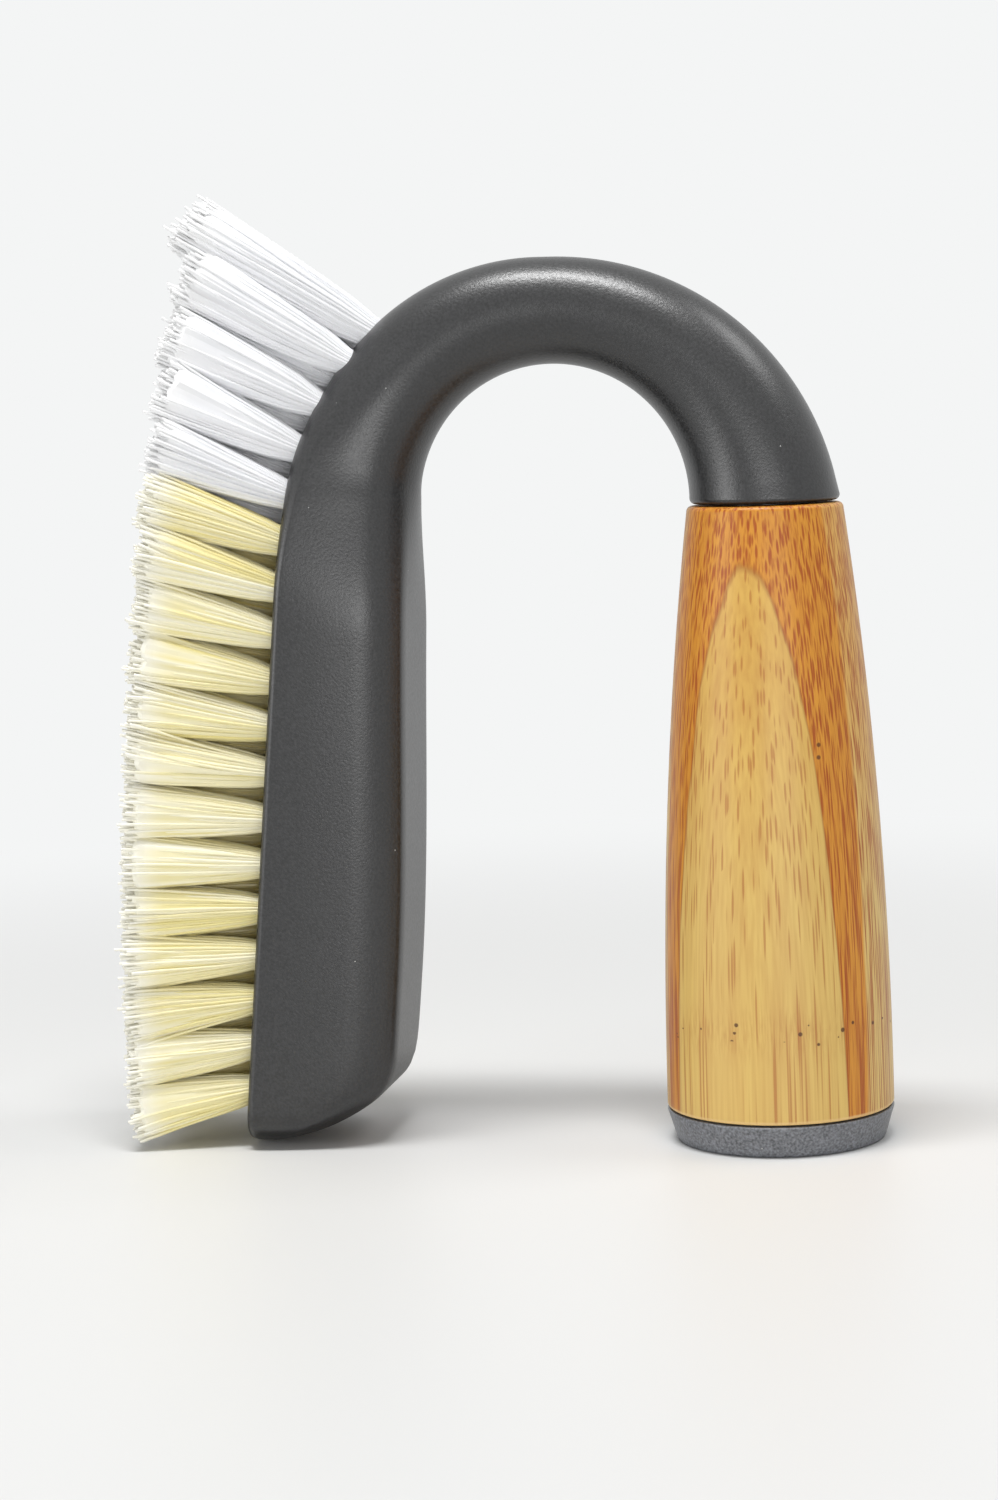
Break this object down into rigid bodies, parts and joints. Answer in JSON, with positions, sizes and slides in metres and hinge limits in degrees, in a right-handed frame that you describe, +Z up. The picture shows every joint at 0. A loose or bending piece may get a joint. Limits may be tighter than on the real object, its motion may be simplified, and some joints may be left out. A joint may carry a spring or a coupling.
{
  "type": "grout brush",
  "caption": "Hand-held grout brush: a moulded head with rows of bristle tufts, an arched neck that leaves room for fingers, and a turned bamboo grip on an end cap.",
  "frame": {"origin": "middle of the footprint, on the surface that the brush stands on", "axes": "+Z up, along the axis of the grip, and the bristles point towards -X with the grip at +X"},
  "size_m": [0.1342, 0.0396, 0.1656],
  "materials": {
    "moulded_grey": "satin moulded polypropylene, fine spark texture",
    "cap_grey": "satin moulded polypropylene",
    "bamboo": "turned solid bamboo, satin clear lacquer",
    "cream_bristle": "cream nylon filament",
    "white_bristle": "white translucent nylon filament",
    "zinc_steel": "bright zinc plated steel"
  },
  "bodies": {
    "root": {"head_and_neck": "moulded_grey", "bamboo_grip": "bamboo", "end_cap": "cap_grey", "screw_washer": "zinc_steel", "grip_screw": "zinc_steel", "outer_tuft_near_01": "cream_bristle", "outer_tuft_near_02": "cream_bristle", "outer_tuft_near_03": "cream_bristle", "outer_tuft_near_04": "cream_bristle", "outer_tuft_near_05": "cream_bristle", "outer_tuft_near_06": "cream_bristle", "outer_tuft_near_07": "cream_bristle", "outer_tuft_near_08": "cream_bristle", "outer_tuft_near_09": "cream_bristle", "outer_tuft_near_10": "cream_bristle", "outer_tuft_near_11": "cream_bristle", "outer_tuft_near_12": "cream_bristle", "outer_tuft_near_13": "cream_bristle", "toe_tuft_near_1": "white_bristle", "toe_tuft_near_2": "white_bristle", "toe_tuft_near_3": "white_bristle", "toe_tuft_near_4": "white_bristle", "outer_tuft_far_01": "cream_bristle", "outer_tuft_far_02": "cream_bristle", "outer_tuft_far_03": "cream_bristle", "outer_tuft_far_04": "cream_bristle", "outer_tuft_far_05": "cream_bristle", "outer_tuft_far_06": "cream_bristle", "outer_tuft_far_07": "cream_bristle", "outer_tuft_far_08": "cream_bristle", "outer_tuft_far_09": "cream_bristle", "outer_tuft_far_10": "cream_bristle", "outer_tuft_far_11": "cream_bristle", "outer_tuft_far_12": "cream_bristle", "outer_tuft_far_13": "cream_bristle", "toe_tuft_far_1": "white_bristle", "toe_tuft_far_2": "white_bristle", "toe_tuft_far_3": "white_bristle", "toe_tuft_far_4": "white_bristle", "centre_tuft_01": "white_bristle", "centre_tuft_02": "white_bristle", "centre_tuft_03": "white_bristle", "centre_tuft_04": "white_bristle", "centre_tuft_05": "white_bristle", "centre_tuft_06": "white_bristle", "centre_tuft_07": "white_bristle", "centre_tuft_08": "white_bristle", "centre_tuft_09": "white_bristle", "centre_tuft_10": "white_bristle", "centre_tuft_11": "white_bristle", "centre_tuft_12": "white_bristle", "centre_tuft_13": "white_bristle", "centre_tuft_14": "white_bristle", "centre_tuft_15": "white_bristle", "centre_tuft_16": "white_bristle", "tip_tuft": "white_bristle"}
  },
  "joints": []
}
